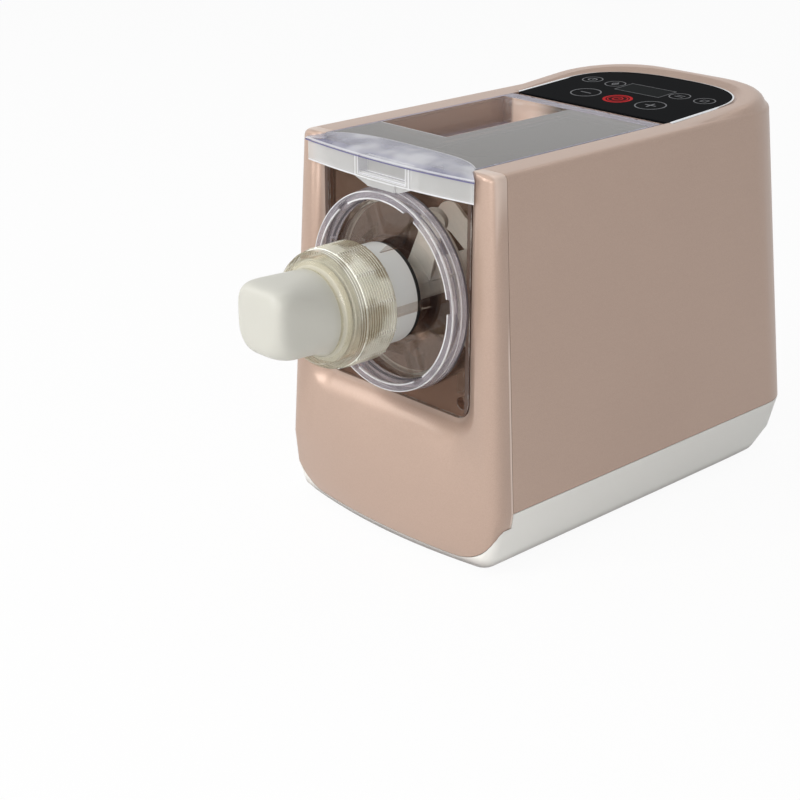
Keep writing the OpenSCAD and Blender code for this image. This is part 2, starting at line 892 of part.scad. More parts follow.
module front_cover() {
    color([0.86, 0.88, 0.90, 0.45])
    placed() {
        difference() {
            union() {
                // Standing ring, slightly drawn in towards its front
                translate([0, flange_y - 0.3, axis_h])
                    rotate([90, 0, 0])
                        cylinder(r1 = ring_r, r2 = ring_r - 1.5, h = ring_out + flange_y - 0.3);
                // Spigot inside the bowl's mouth
                tube_along(mouth_r - 0.4, flange_y - 0.5, bowl_front + 4, axis_h);
            }
            // Dish in front, with notches in its rim
            tube_along(ring_r - ring_wall, -ring_out - 1, -1, axis_h);
            for (i = [0:notch_count - 1])
                translate([0, 0, axis_h])
                    rotate([0, 60 * i + 25, 0])
                        translate([-5, -ring_out - 1, ring_r - ring_wall - 1])
                            cube([10, 7, 4]);
            // Hollow behind the disc
            tube_along(mouth_r - 3.4, disc_t - 1, bowl_front + 5, axis_h);
            tube_along(feed_r, -20, 20, axis_h);
        }
        difference() {
            union() {
                // Collar round the feed bore
                tube_along(barrel_tube_r + 2.5, -hub_front, 0, axis_h);
                // Radial ribs
                for (i = [0:rib_count - 1])
                    translate([0, 0, axis_h])
                        rotate([0, 360 / rib_count * (i + 0.5), 0])
                            translate([-1, -4.4, feed_r + 3])
                                cube([2, 4.4, ring_r - ring_wall - feed_r - 2.5]);
                // Bars along the barrel's sides that hold it up to the nut
                for (a = [90, 270])
                    translate([0, 0, axis_h])
                        rotate([0, a, 0])
                            translate([-2.5, -nut_back + 0.5, barrel_tube_r + 0.6])
                                cube([5, nut_back - 1, 4]);
                // Gussets above and below the barrel
                for (a = [0, 180], s = [-1, 1])
                    translate([0, 0, axis_h])
                        rotate([0, a, 0])
                            translate([s * gusset_x - 1, 0, 0])
                                rotate([90, 0, 90])
                                    linear_extrude(2)
                                        polygon([[-gusset_len, gusset_low], [0, gusset_low],
                                                 [0, gusset_low + gusset_rise]]);
            }
            tube_along(feed_r, -30, 20, axis_h);
        }
    }
}

module cover_gasket() {
    color([0.80, 0.80, 0.79])
    placed()
        ring_along(mouth_r - 0.4, mouth_r - 3.2, bowl_front + 4, bowl_front + 6, axis_h);
}

module barrel_seal() {
    color([0.10, 0.10, 0.10])
    placed()
        ring_along(barrel_tube_r - 0.5, feed_r + 0.5, -hub_front - 3, -hub_front, axis_h);
}

module feed_barrel() {
    color([0.93, 0.93, 0.90])
    placed()
        difference() {
            tube_along(barrel_tube_r, -barrel_end, -hub_front - 3, axis_h);
            tube_along(feed_r, -barrel_end - 1, 0, axis_h);
        }
}

nut_ridges = 12;
nut_smooth = 13;
grip_count = 12;

// Half section of the nut: three smooth steps, then fine ridges up to its rear edge
function nut_profile() =
    let (pitch = (nut_len - nut_smooth - 1) / nut_ridges)
    concat(
        [[0, 0], [nut_r - 6.5, 0], [nut_r - 5.5, 1], [nut_r - 5.5, 3], [nut_r - 3, 3.6], [nut_r - 3, 7],
         [nut_r - 1.2, 7.8], [nut_r - 1.2, nut_smooth]],
        [for (i = [0:nut_ridges - 1], k = [[0.15, 0.9], [0.4, 0], [0.75, 0], [1, 0.9]])
            [nut_r - k[1], nut_smooth + pitch * (i + k[0])]],
        [[nut_r - 0.9, nut_len], [0, nut_len]]);

module locking_nut() {
    color([0.86, 0.88, 0.84, 0.5])
    placed()
        difference() {
            union() {
                translate([0, -nut_front, axis_h])
                    rotate([-90, 0, 0])
                        rotate_extrude($fn = 96)
                            polygon(nut_profile());
                for (i = [0:grip_count - 1])
                    translate([0, -nut_front + nut_smooth, axis_h])
                        rotate([-90, 360 / grip_count * (i + 0.5), 0])
                            translate([0, nut_r - 1.1, 0])
                                cylinder(r = 1.3, h = nut_len - nut_smooth - 0.5, $fn = 24);
            }
            tube_along(nut_bore_r, -nut_front + nut_lip, -nut_back + 1, axis_h);
            tube_along(neck_r + 0.5, -nut_front - 1, -nut_back, axis_h);
        }
}

nose_r = 11;
nose_back = nut_front + 0.6;
outlet_y = -nose_front + 24;
disc_seat = 4;
nose_foot_r = 8.8;
// Sections of the nose from its domed front: depth, inset and added radius of the lower corners
nose_levels = [[0, 7, 9], [0.5, 4.8, 9], [1.8, 2.8, 8], [4, 1.3, 6], [7.5, 0.4, 2.5], [12, 0, 0]];

// Front view of the nose, whose lower corners are roundest at its front
module nose_section(inset, round) {
    half = nose_w / 2 - inset;
    top = nose_up - inset;
    low = inset - nose_down;
    upper = nose_r - inset / 3;
    lower = nose_foot_r + round - inset / 3;
    polygon(concat(
        arc_points(half - upper, top - upper, upper, 0, 90, 6),
        arc_points(upper - half, top - upper, upper, 90, 180, 6),
        arc_points(lower - half, low + lower, lower, 180, 270, 5),
        arc_points(half - lower, low + lower, lower, 270, 360, 5)));
}

// The nose from its domed front to where it flares into the round neck
module nozzle_nose() {
    hull() {
        for (s = nose_levels)
            translate([0, -nose_front + s[0] + eps, axis_h])
                rotate([90, 0, 0])
                    linear_extrude(eps)
                        nose_section(s[1], s[2]);
        translate([0, -nose_back, axis_h])
            rotate([90, 0, 0])
                linear_extrude(eps)
                    intersection() {
                        circle(neck_r + 0.8, $fn = 48);
                        translate([-40, -nose_down])
                            square(80);
                    }
    }
}

module nozzle() {
    color([0.93, 0.92, 0.89])
    placed()
        difference() {
            union() {
                tube_along(neck_r, -nose_back - 0.5, -barrel_end - 0.3, axis_h);
                tube_along(barrel_tube_r, -barrel_end - 0.3 - flange_t, -barrel_end - 0.3, axis_h);
                nozzle_nose();
            }
            // Feed channel, the chamber over the outlet and the outlet
            tube_along(nose_down - 3.5, outlet_y, -barrel_end + 1, axis_h);
            tube_along(neck_r - 3.5, -nut_front + 2, -barrel_end + 1, axis_h);
            translate([0, outlet_y, axis_h - nose_down - 1])
                cylinder(r = outlet_r, h = nose_down + nose_down - 3);
            translate([0, outlet_y, axis_h - nose_down - 1])
                cylinder(r = outlet_r + 1.5, h = disc_seat + 1);
            // Gate dimple in the front face
            translate([0, -nose_front + 0.6, axis_h + 4])
                rotate([90, 0, 0])
                    cylinder(r = 2.2, h = 3);
        }
}

die_rings = [[1, 0], [6, 5.2], [12, 10.4]];

module shaping_disc() {
    color([0.90, 0.90, 0.86])
    placed()
        translate([0, outlet_y, axis_h - nose_down + 0.6])
            difference() {
                cylinder(r = outlet_r + 1.4, h = disc_seat - 0.6);
                for (ring = die_rings, i = [0:ring[0] - 1])
                    rotate([0, 0, 360 / ring[0] * i])
                        translate([ring[1], 0, -1])
                            cylinder(r = die_hole_r, h = 10, $fn = 16);
            }
}

screw_front = barrel_end - 4;
screw_back = 9;
flight_t = 4;

module feed_screw() {
    core = 10;
    flight_len = screw_front + screw_back - 4;
    color([0.90, 0.90, 0.87])
    placed()
        difference() {
            union() {
                tube_along(core, -screw_front, screw_back, axis_h);
                translate([0, -screw_front, axis_h])
                    rotate([-90, 0, 0])
                        linear_extrude(flight_len, twist = -360 * flight_len / screw_pitch, slices = 33)
                            polygon([[0, -flight_t], [core, -flight_t], [screw_r - 1, -flight_t],
                                     [screw_r, 0], [screw_r - 1, flight_t], [core, flight_t],
                                     [0, flight_t]]);
                // Drive collar behind the flight
                tube_along(13, screw_back - 4, screw_back + 4, axis_h);
            }
            tube_along(shaft_r, -screw_front + 6, screw_back + 10, axis_h);
        }
}

paddle_front = screw_back + 4.3;
paddle_back = bowl_back - 12;
arm_pitch = 36;
arm_count = 5;

module mixing_arm() {
    tip = 9;
    linear_extrude(6, center = true) {
        polygon([[-10, 0], [10, 0], [tip - 1.5, arm_reach - tip - 12], [tip, arm_reach - tip],
                 [-tip, arm_reach - tip], [1.5 - tip, arm_reach - tip - 12]]);
        translate([0, arm_reach - tip])
            circle(tip, $fn = 32);
    }
}

module mixing_paddle() {
    color([0.93, 0.93, 0.90])
    placed()
        difference() {
            union() {
                tube_along(12, paddle_front, paddle_back, axis_h);
                for (i = [0:arm_count - 1])
                    translate([0, paddle_front + 8 + arm_pitch * i, axis_h])
                        rotate([0, 20 + 140 * i, 0])
                            rotate([90, 0, 0])
                                rotate([0, 25, 0])
                                    mixing_arm();
            }
            tube_along(shaft_r, 0, paddle_back + 10, axis_h);
        }
}

shaft_front = 30;
shaft_end = box_back + box_wall + 4;

module drive_shaft() {
    color([0.74, 0.75, 0.77])
    placed() {
        tube_along(shaft_r, -shaft_front, shaft_end, axis_h);
        tube_along(shaft_r + 2, slow_y - 1.5, slow_y, axis_h);
    }
}

// The two bearings sit in the gearbox's front wall and its cover
module shaft_bearings() {
    color([0.72, 0.60, 0.35])
    placed() {
        ring_along(bearing_r, shaft_r + play, box_front, box_front + box_wall, axis_h);
        ring_along(bearing_r, shaft_r + play, box_back, box_back + box_wall, axis_h);
    }
}

pressure = 25;
backlash = 0.3;

// Angle between an involute flank's point at radius r and the middle of its tooth
function flank_angle(r, base_r, half) =
    let (roll = acos(base_r / max(r, base_r)))
    half - tan(roll) * 180 / PI + roll + tan(pressure) * 180 / PI - pressure;

// Radii and angles of one flank, from the root to the tip
function tooth_flank(m, teeth) =
    let (pitch_r = m * teeth / 2, base_r = pitch_r * cos(pressure), tip_r = pitch_r + 0.85 * m,
         root_r = pitch_r - 1.15 * m, low_r = max(root_r + 0.05, base_r),
         half = 90 / teeth - backlash / 2 / pitch_r * 180 / PI)
    [[root_r, flank_angle(low_r, base_r, half)], [low_r, flank_angle(low_r, base_r, half)],
     [pitch_r, half], [tip_r, flank_angle(tip_r, base_r, half)]];

function gear_points(m, teeth) =
    let (flank = tooth_flank(m, teeth))
    [for (i = [0:teeth - 1], k = [0:7])
        let (middle = 360 / teeth * i, p = flank[k < 4 ? k : 7 - k], turn = k < 4 ? -p[1] : p[1])
        p[0] * [cos(middle + turn), sin(middle + turn)]];

// A spur gear along Y, turned by its phase
module spur_gear(m, teeth, y, z, face, bore, phase) {
    translate([0, y, z])
        rotate([-90, 0, 0])
            rotate([0, 0, phase])
                linear_extrude(face)
                    difference() {
                        polygon(gear_points(m, teeth));
                        circle(bore);
                    }
}

module output_gear() {
    web = 5;
    color([0.86, 0.86, 0.82])
    placed()
        difference() {
            spur_gear(slow_module, slow_teeth, slow_y, axis_h, slow_face, shaft_r, 0);
            // Lightened web between the rim and the hub
            for (y = [slow_y - 1, slow_y + slow_face - (slow_face - web) / 2])
                ring_along(slow_module * slow_teeth / 2 - 7, 14, y, y + (slow_face - web) / 2 + 1, axis_h);
        }
}

module middle_gear() {
    color([0.86, 0.86, 0.82])
    placed()
        difference() {
            union() {
                spur_gear(slow_module, slow_pinion_teeth, slow_y, middle_h, fast_y - slow_y + 0.5,
                          axle_r + play, slow_pinion_phase);
                spur_gear(fast_module, fast_teeth, fast_y, middle_h, fast_face, axle_r + play, 0);
            }
            ring_along(fast_module * fast_teeth / 2 - 5, 14, fast_y + fast_face - 2.5, fast_y + fast_face + 1,
                       middle_h);
        }
}

// The slow wheel has a gap at its foot and the fast wheel a tooth, so the fast pinion turns half a tooth
slow_pinion_phase = 0;
fast_pinion_phase = 360 / fast_pinion_teeth / 2;

module middle_axle() {
    color([0.74, 0.75, 0.77])
    placed() {
        tube_along(axle_r, box_front, box_back + box_wall, middle_h);
        tube_along(axle_r + 2, box_front + box_wall, slow_y - 0.3, middle_h);
    }
}

module motor_pinion() {
    color([0.72, 0.60, 0.35])
    placed()
        spur_gear(fast_module, fast_pinion_teeth, fast_y - 1, motor_h, fast_face + 1, motor_shaft_r,
                  fast_pinion_phase);
}

module motor_can() {
    color([0.62, 0.64, 0.66])
    placed()
        difference() {
            union() {
                tube_along(motor_r, motor_y, motor_end, motor_h);
                // Mounting ears on the gearbox cover
                for (s = [-1, 1])
                    translate([s * (motor_r + 2) - 6, motor_y, motor_h - 6])
                        cube([12, 4, 12]);
            }
            tube_along(motor_r - 2.5, motor_y + 2.5, motor_end + 1, motor_h);
            tube_along(motor_shaft_r + play, motor_y - 1, motor_end, motor_h);
        }
}

module motor_end_cap() {
    color([0.20, 0.20, 0.21])
    placed()
        difference() {
            tube_along(motor_r, motor_end, motor_end + cap_t, motor_h);
            tube_along(motor_shaft_r + play, motor_end - 1, motor_end + cap_t + 1, motor_h);
            for (i = [0:5])
                translate([0, 0, motor_h])
                    rotate([0, 60 * i, 0])
                        translate([-6, motor_end - 1, 14])
                            cube([12, cap_t + 2, 12]);
        }
}

module motor_shaft() {
    color([0.74, 0.75, 0.77])
    placed() {
        tube_along(motor_shaft_r, fast_y - 1, motor_end + cap_t + 16, motor_h);
        // Rotor inside the motor
        tube_along(motor_r - 8, motor_y + 8, motor_end - 8, motor_h);
    }
}

fan_blades = 7;

module cooling_fan() {
    fan_y = motor_end + cap_t + 3;
    color([0.15, 0.15, 0.16])
    placed()
        difference() {
            union() {
                tube_along(10, fan_y, fan_y + 11, motor_h);
                for (i = [0:fan_blades - 1])
                    translate([0, fan_y + 5.5, motor_h])
                        rotate([0, 360 / fan_blades * i, 0])
                            translate([0, 0, 8])
                                rotate([0, 0, 35])
                                    translate([-6, -0.75, 0])
                                        cube([12, 1.5, 22]);
            }
            tube_along(motor_shaft_r, fan_y - 1, fan_y + 14, motor_h);
        }
}

// Front view of the gearbox
module box_outline(inset) {
    half = box_half - inset;
    low = fast_module * fast_teeth / 2 + 8 - inset;
    polygon(concat(
        arc_points(0, axis_h, half, 0, 180, 16),
        arc_points(0, motor_h, low, 180, 360, 14)));
}

ear_points = [for (s = [-1, 1], p = [[40, axis_h + 34], [42, middle_h - 14]]) [s * p[0], p[1]]];

module gearbox_housing() {
    color([0.30, 0.31, 0.33])
    placed()
        difference() {
            union() {
                translate([0, box_back, 0])
                    rotate([90, 0, 0])
                        linear_extrude(box_back - box_front)
                            box_outline(0);
                for (p = ear_points)
                    translate([p[0], box_front, p[1]])
                        rotate([-90, 0, 0])
                            cylinder(r = 6, h = box_back - box_front);
            }
            translate([0, box_back + 1, 0])
                rotate([90, 0, 0])
                    linear_extrude(box_back - box_front - box_wall + 1)
                        box_outline(box_wall);
            tube_along(bearing_r, box_front - 1, box_front + box_wall + 1, axis_h);
            tube_along(axle_r, box_front - 1, box_front + box_wall + 1, middle_h);
            for (p = ear_points)
                translate([p[0], box_back - 14, p[1]])
                    rotate([-90, 0, 0])
                        cylinder(r = screw_r_base, h = 20);
        }
}

module gearbox_cover() {
    color([0.33, 0.34, 0.36])
    placed()
        difference() {
            union() {
                translate([0, box_back + box_wall, 0])
                    rotate([90, 0, 0])
                        linear_extrude(box_wall)
                            box_outline(0);
                for (p = ear_points)
                    translate([p[0], box_back, p[1]])
                        rotate([-90, 0, 0])
                            cylinder(r = 6, h = box_wall);
            }
            tube_along(bearing_r, box_back - 1, box_back + box_wall + 1, axis_h);
            tube_along(axle_r, box_back - 1, box_back + box_wall + 1, middle_h);
            tube_along(motor_shaft_r + 2, box_back - 1, box_back + box_wall + 1, motor_h);
            for (p = ear_points)
                translate([p[0], box_back - 1, p[1]])
                    rotate([-90, 0, 0])
                        cylinder(r = screw_hole_r, h = box_wall + 2);
        }
}

module gearbox_screws() {
    color([0.70, 0.70, 0.72])
    placed()
        for (p = ear_points)
            translate([p[0], box_back + box_wall, p[1]])
                rotate([90, 0, 0]) {
                    cylinder(r = screw_r_base, h = box_wall + 12);
                    translate([0, 0, -2])
                        cylinder(r = 3, h = 2);
                }
}

module power_board() {
    board_w = 80;
    board_len = 50;
    color([0.12, 0.32, 0.22])
    placed()
        translate([-board_w / 2, frame_back - board_len - 16, frame_foot + deck_t]) {
            cube([board_w, board_len, board_t]);
            // Transformer, two capacitors and a relay
            translate([6, 8, board_t - eps])
                cube([22, 18, 16]);
            for (x = [40, 56])
                translate([x, 16, board_t - eps])
                    cylinder(r = 6, h = 20);
            translate([38, 30, board_t - eps])
                cube([20, 12, 12]);
        }
}

module cable_gland() {
    wall_y = skirt_d - (gland_h - skirt_h) / (rail_h - shoulder - skirt_h) * (skirt_d - top_d);
    color([0.12, 0.12, 0.12])
    placed()
        translate([gland_x, 0, gland_h])
            difference() {
                union() {
                    tube_along(gland_r, wall_y - wall - 6, wall_y - 0.4, 0);
                    tube_along(gland_r + 2.5, wall_y - wall - 6, wall_y - wall - 0.5, 0);
                }
                tube_along(3.4, wall_y - wall - 10, wall_y + 10, 0);
            }
}

module base_screws() {
    color([0.70, 0.70, 0.72])
    placed()
        for (p = stand_points)
            translate([p[0], p[1], ground_gap - 1.6]) {
                cylinder(r = 3, h = 1.6);
                cylinder(r = screw_r_base, h = wall + boss_h + 8);
            }
}

foot_inset = 22;
foot_front = 54;
foot_rear = 62;
foot_points = [for (x = [-1, 1], y = [foot_front, base_d - foot_rear]) [x * (base_half - foot_inset), y]];

module rubber_feet() {
    color([0.13, 0.13, 0.13])
    placed()
        for (p = foot_points)
            translate([p[0], p[1], 0])
                cylinder(r1 = foot_r - 0.8, r2 = foot_r, h = ground_gap);
}

main_housing();
front_fascia();
base_tray();
inner_frame();
control_panel();
panel_trim();
touch_board();
display_module();
lid();
lid_hinge_pins();
lid_seal();
lid_switch();
mixing_bowl();
bowl_seal();
front_cover();
cover_gasket();
feed_barrel();
barrel_seal();
locking_nut();
nozzle();
shaping_disc();
feed_screw();
mixing_paddle();
drive_shaft();
shaft_bearings();
output_gear();
middle_gear();
middle_axle();
motor_pinion();
motor_can();
motor_end_cap();
motor_shaft();
cooling_fan();
gearbox_housing();
gearbox_cover();
gearbox_screws();
power_board();
cable_gland();
base_screws();
rubber_feet();
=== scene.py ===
from math import cos, radians

import bpy
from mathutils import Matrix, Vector


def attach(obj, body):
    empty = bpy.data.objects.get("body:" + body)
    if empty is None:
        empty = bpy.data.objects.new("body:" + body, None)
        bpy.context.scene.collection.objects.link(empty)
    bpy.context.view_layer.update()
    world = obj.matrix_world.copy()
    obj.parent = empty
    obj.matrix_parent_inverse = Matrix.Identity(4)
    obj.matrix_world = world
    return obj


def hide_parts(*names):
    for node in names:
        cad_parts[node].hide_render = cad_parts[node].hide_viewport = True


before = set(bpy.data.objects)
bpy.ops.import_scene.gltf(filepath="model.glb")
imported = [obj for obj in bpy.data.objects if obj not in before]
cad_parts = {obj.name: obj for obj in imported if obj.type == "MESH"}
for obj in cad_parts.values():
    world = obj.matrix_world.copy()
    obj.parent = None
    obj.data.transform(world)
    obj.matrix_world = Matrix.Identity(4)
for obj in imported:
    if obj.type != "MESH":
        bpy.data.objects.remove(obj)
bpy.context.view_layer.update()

scene = bpy.context.scene
scene.view_settings.view_transform = "Standard"

# Places in the finishes are millimetres as in the drawing: y from the front corners, z from the table
drawing = {"perMetre": 1000, "middleY": 106, "axisHeight": 177}

camera = {"place": (0.77456, -0.82681, 0.53045), "turn": (67.932, 0.0743, 47.1844),
          "lens": 76.39, "shift": (0.01455, -0.0054), "clip": (0.02, 50)}


def makeCamera():
    turn = [radians(angle) for angle in camera["turn"]]
    bpy.ops.object.camera_add(location=camera["place"], rotation=turn)
    cam = bpy.context.object
    cam.data.sensor_width = 36
    cam.data.lens = camera["lens"]
    cam.data.shift_x, cam.data.shift_y = camera["shift"]
    cam.data.clip_start, cam.data.clip_end = camera["clip"]
    scene.camera = cam


lights = {
    "key": {"place": (-0.6, -2.3, 1.6), "size": 1.1, "power": 31, "colour": (1.0, 0.985, 0.965)},
    "left": {"place": (-1.9, -1.1, 1.6), "size": 0.8, "power": 9, "colour": (1.0, 0.99, 0.98)},
    "side": {"place": (0.8, -1.25, 0.75), "size": 0.5, "power": 6.2, "colour": (1.0, 0.98, 0.96)},
    "top": {"place": (-0.5, 0.3, 2.3), "size": 1.4, "power": 7, "colour": (1.0, 1.0, 1.0)},
    "rim": {"place": (-0.1, 1.7, 2.0), "size": 0.5, "power": 1.2, "colour": (1.0, 0.99, 0.98)},
}
aim = Vector((0, -0.02, 0.14))       # the middle of the machine, which every lamp faces


def makeLights():
    for name, lamp in lights.items():
        place = Vector(lamp["place"])
        turn = (aim - place).to_track_quat("-Z", "Y").to_euler()
        bpy.ops.object.light_add(type="AREA", location=place, rotation=turn)
        light = bpy.context.object
        light.name = name + "Light"
        light.data.shape = "SQUARE"
        light.data.size = lamp["size"]
        light.data.energy = lamp["power"]
        light.data.color = lamp["colour"]


# Shader maths: one output socket that adds, multiplies and compares
class Wire:
    def __init__(self, nodes, socket):
        self.nodes, self.socket = nodes, socket

    def maths(self, operation, *values):
        node = self.nodes.new("ShaderNodeMath")
        node.operation = operation
        for number, value in enumerate(values):
            plug(self.nodes, node.inputs[number], value)
        return Wire(self.nodes, node.outputs[0])

    def __add__(self, other):
        return self.maths("ADD", self, other)

    def __radd__(self, other):
        return self.maths("ADD", other, self)

    def __sub__(self, other):
        return self.maths("SUBTRACT", self, other)

    def __rsub__(self, other):
        return self.maths("SUBTRACT", other, self)

    def __mul__(self, other):
        return self.maths("MULTIPLY", self, other)

    def __rmul__(self, other):
        return self.maths("MULTIPLY", other, self)

    def __truediv__(self, other):
        return self.maths("DIVIDE", self, other)

    def __rtruediv__(self, other):
        return self.maths("DIVIDE", other, self)

    def __pow__(self, other):
        return self.maths("POWER", self, other)

    def __abs__(self):
        return self.maths("ABSOLUTE", self)

    def lowest(self, other):
        return self.maths("MINIMUM", self, other)

    def highest(self, other):
        return self.maths("MAXIMUM", self, other)

    def root(self):
        return self.maths("SQRT", self)

    def fraction(self):
        return self.maths("FRACT", self)


def plug(nodes, socket, value):
    if isinstance(value, Wire):
        nodes.id_data.links.new(value.socket, socket)
    else:
        socket.default_value = value


def srgb(red, green, blue):
    def channel(level):
        level = level / 255
        return level / 12.92 if level <= 0.04045 else ((level + 0.055) / 1.055) ** 2.4
    return (channel(red), channel(green), channel(blue), 1.0)


def scaled(colour, share):
    return tuple(min(1, channel * share) for channel in colour[:3]) + (1.0,)


class Finish:
    def __init__(self, name):
        self.material = bpy.data.materials.new(name)
        self.material.use_nodes = True
        self.nodes = self.material.node_tree.nodes
        self.shader = self.nodes["Principled BSDF"]

    # An input is named by its label, or by its number after an underscore
    def node(self, kind, settings=None, output=0, **inputs):
        made = self.nodes.new("ShaderNode" + kind)
        for key, value in (settings or {}).items():
            setattr(made, key, value)
        for key, value in inputs.items():
            socket = made.inputs[int(key[1:])] if key[0] == "_" else made.inputs[key.replace("_", " ")]
            plug(self.nodes, socket, value)
        return Wire(self.nodes, made.outputs[output])

    def place(self):
        return self.node("TexCoord", output="Object")

    def axes(self, vector):
        node = self.nodes.new("ShaderNodeSeparateXYZ")
        plug(self.nodes, node.inputs[0], vector)
        return [Wire(self.nodes, out) for out in node.outputs]

    def drawn(self):
        x, y, z = [axis * drawing["perMetre"] for axis in self.axes(self.place())]
        return x, y + drawing["middleY"], z

    def fromAxis(self, x, z):
        return (x ** 2 + (z - drawing["axisHeight"]) ** 2).root()

    def noise(self, scale, detail=3.0, rough=0.5):
        return self.node("TexNoise", Vector=self.place(), Scale=scale, Detail=detail, Roughness=rough)

    def smooth(self, value, low, high, outLow=0.0, outHigh=1.0):
        node = self.nodes.new("ShaderNodeMapRange")
        node.interpolation_type = "SMOOTHSTEP"
        for number, item in enumerate((value, low, high, outLow, outHigh)):
            plug(self.nodes, node.inputs[number], item)
        return Wire(self.nodes, node.outputs[0])

    # A thin line where a value comes near a place
    def line(self, value, place, width=0.4, blur=0.25):
        return self.smooth(abs(value - place), width + blur, width)

    def within(self, value, low, high, blur=0.3):
        return self.smooth(value, low - blur, low) * self.smooth(value, high + blur, high)

    def mix(self, factor, one, two):
        node = self.nodes.new("ShaderNodeMix")
        node.data_type = "RGBA"
        for number, item in ((0, factor), (6, one), (7, two)):
            plug(self.nodes, node.inputs[number], item)
        return Wire(self.nodes, node.outputs[2])

    def bump(self, height, strength, distance):
        return self.node("Bump", Height=height, Strength=strength, Distance=distance)

    def give(self, **sockets):
        for key, value in sockets.items():
            plug(self.nodes, self.shader.inputs[key.replace("_", " ")], value)
        return self

    def film(self, colour, rough, **more):
        return self.node("BsdfPrincipled", Base_Color=colour, Roughness=rough, **more)

    def own(self):
        return Wire(self.nodes, self.shader.outputs[0])

    def blend(self, factor, one, two):
        return self.node("MixShader", _0=factor, _1=one, _2=two)

    def surface(self, shader):
        plug(self.nodes, self.nodes["Material Output"].inputs[0], shader)


finishes = {}


def finish(name):
    made = Finish(name)
    finishes[name] = made.material
    return made


def moulded(name, colour, rough, grain=900.0, tone=0.05, bump=0.12, coat=0.0):
    made = finish(name)
    fine = made.noise(grain, 2.0)
    wide = made.noise(9.0)
    shade, light = scaled(colour, 1 - tone), scaled(colour, 1 + tone * 0.6)
    made.give(Base_Color=made.mix(wide * 0.6 + fine * 0.4, shade, light),
              Roughness=fine * 0.10 + (wide * 0.08 + (rough - 0.09)),
              Normal=made.bump(fine, bump, 0.00006))
    return made.give(Metallic=0.0, Coat_Weight=coat)


def steelLike(name, colour, rough):
    made = finish(name)
    stretched = made.node("Mapping", _0=made.place(), Scale=(900, 30, 900))
    grain = made.node("TexNoise", Vector=stretched, Scale=1.0, Detail=3.0)
    made.give(Base_Color=made.mix(grain, scaled(colour, 0.88), colour),
              Roughness=grain * 0.16 + (rough - 0.08), Normal=made.bump(grain, 0.15, 0.00004))
    return made.give(Metallic=1.0)


# Clear moulding: see-through, mirror-like by its gloss, and with a rim colour where it turns away
def clearPlastic(name, through, rim, veil=0.02, edge=(0.76, 0.98, 0.6), tint=(0.95, 0.95, 0.97, 1)):
    made = finish(name)
    scratch = made.noise(420.0, 4.0, 0.6)
    facing = made.node("LayerWeight", None, "Facing", Blend=0.5)
    gloss = made.node("LayerWeight", None, "Fresnel", Blend=0.32)
    made.give(Roughness=scratch * 0.06 + 0.02, Base_Color=made.mix(scratch, scaled(tint, 0.9), tint), Metallic=1.0)
    made.open = made.node("BsdfTransparent", Color=through)
    shine = gloss.lowest(0.8) * made.smooth(facing, 0.35, 0.9, 0.3, 1.0)
    glossy = made.blend(shine, made.open, made.own())
    start, end, share = edge
    made.clear = made.blend(made.smooth(facing, start, end, veil, share), glossy, made.film(rim, 0.25))
    return made


# Lamps shine through the clear parts onto what is behind them
def letLampsIn(made, shader, amount=0.9):
    lamps = made.node("LightPath", output="Is Shadow Ray")
    made.surface(made.blend(lamps * amount, shader, made.open))


coverRing = {"inside": 60.4, "lines": (66.9, 61.9), "lineWidth": 0.5, "front": -9.6, "sideLine": -4,
             "sideFrom": 66, "foot": 0.9, "footWidth": 0.7, "footFrom": 66.5, "dishEdge": 61, "dishDepth": 1.2,
             "paleShare": 0.26, "whiteShare": 0.8, "darkShare": 0.75,
             "dishTint": srgb(222, 204, 192), "ringTint": srgb(240, 238, 246),
             "pale": srgb(206, 202, 212), "white": srgb(244, 244, 246), "dark": srgb(62, 56, 60)}


# The cover's ring gets a pale film, and painted reflections: white lines on its front edges, and dark lines at its
# foot and round the dish's edge
def ringedCover(name, *looks):
    look = coverRing
    made = clearPlastic(name, *looks)
    x, y, z = made.drawn()
    radial = made.fromAxis(x, z)
    ring = made.smooth(radial, look["inside"], look["inside"] + 1)
    made.give(Base_Color=made.mix(ring, look["dishTint"], look["ringTint"]))
    front = made.smooth(y, look["front"], look["front"] - 0.8)
    broken = made.smooth(made.noise(45.0, 2.0), 0.3, 0.5, 0.35, 1.0)
    outer, inner = look["lines"]
    width = look["lineWidth"]
    # Painted highlights: white lines on the ring's front edges and along its side
    white = (made.line(radial, outer, width) + made.line(radial, inner, width)) * front * broken
    side = made.smooth(radial, look["sideFrom"], look["sideFrom"] + 0.8)
    white = white + made.line(y, look["sideLine"]) * side * broken * 0.8
    # Painted dark lines at the ring's foot and round the dish's edge, standing for reflections
    foot = made.smooth(radial, look["footFrom"], look["footFrom"] + 0.7)
    dark = made.line(y, look["foot"], look["footWidth"]) * foot
    dark = dark + made.line(radial, look["dishEdge"], width) * made.line(y, -1, look["dishDepth"])
    shader = made.blend(ring * look["paleShare"], made.clear, made.film(look["pale"], 0.25))
    shader = made.blend(white.lowest(1) * look["whiteShare"], shader, made.film(look["white"], 0.12))
    letLampsIn(made, made.blend(dark.lowest(1) * look["darkShare"], shader, made.film(look["dark"], 0.3)))


bowlFlange = {"side": 65.4, "back": 5.6, "share": 0.85, "dark": srgb(84, 64, 55)}


# The bowl's front flange gets a painted dark edge, which stands for the shaded wall of the bay seen behind it
def edgedBowl(name, *looks):
    look = bowlFlange
    made = clearPlastic(name, *looks)
    x, y, z = made.drawn()
    shadedEdge = made.smooth(abs(x), look["side"], look["side"] + 0.6) * made.smooth(y, look["back"], look["back"] - 0.4)
    letLampsIn(made, made.blend(shadedEdge * look["share"], made.clear, made.film(look["dark"], 0.4)))


nutRidges = {"start": -57, "pitch": 2.0, "before": 5.2, "outside": 37.8, "crest": 0.02, "groove": 0.6,
             "lampShare": 0.7,
             "white": srgb(255, 255, 246), "dark": srgb(120, 104, 76)}
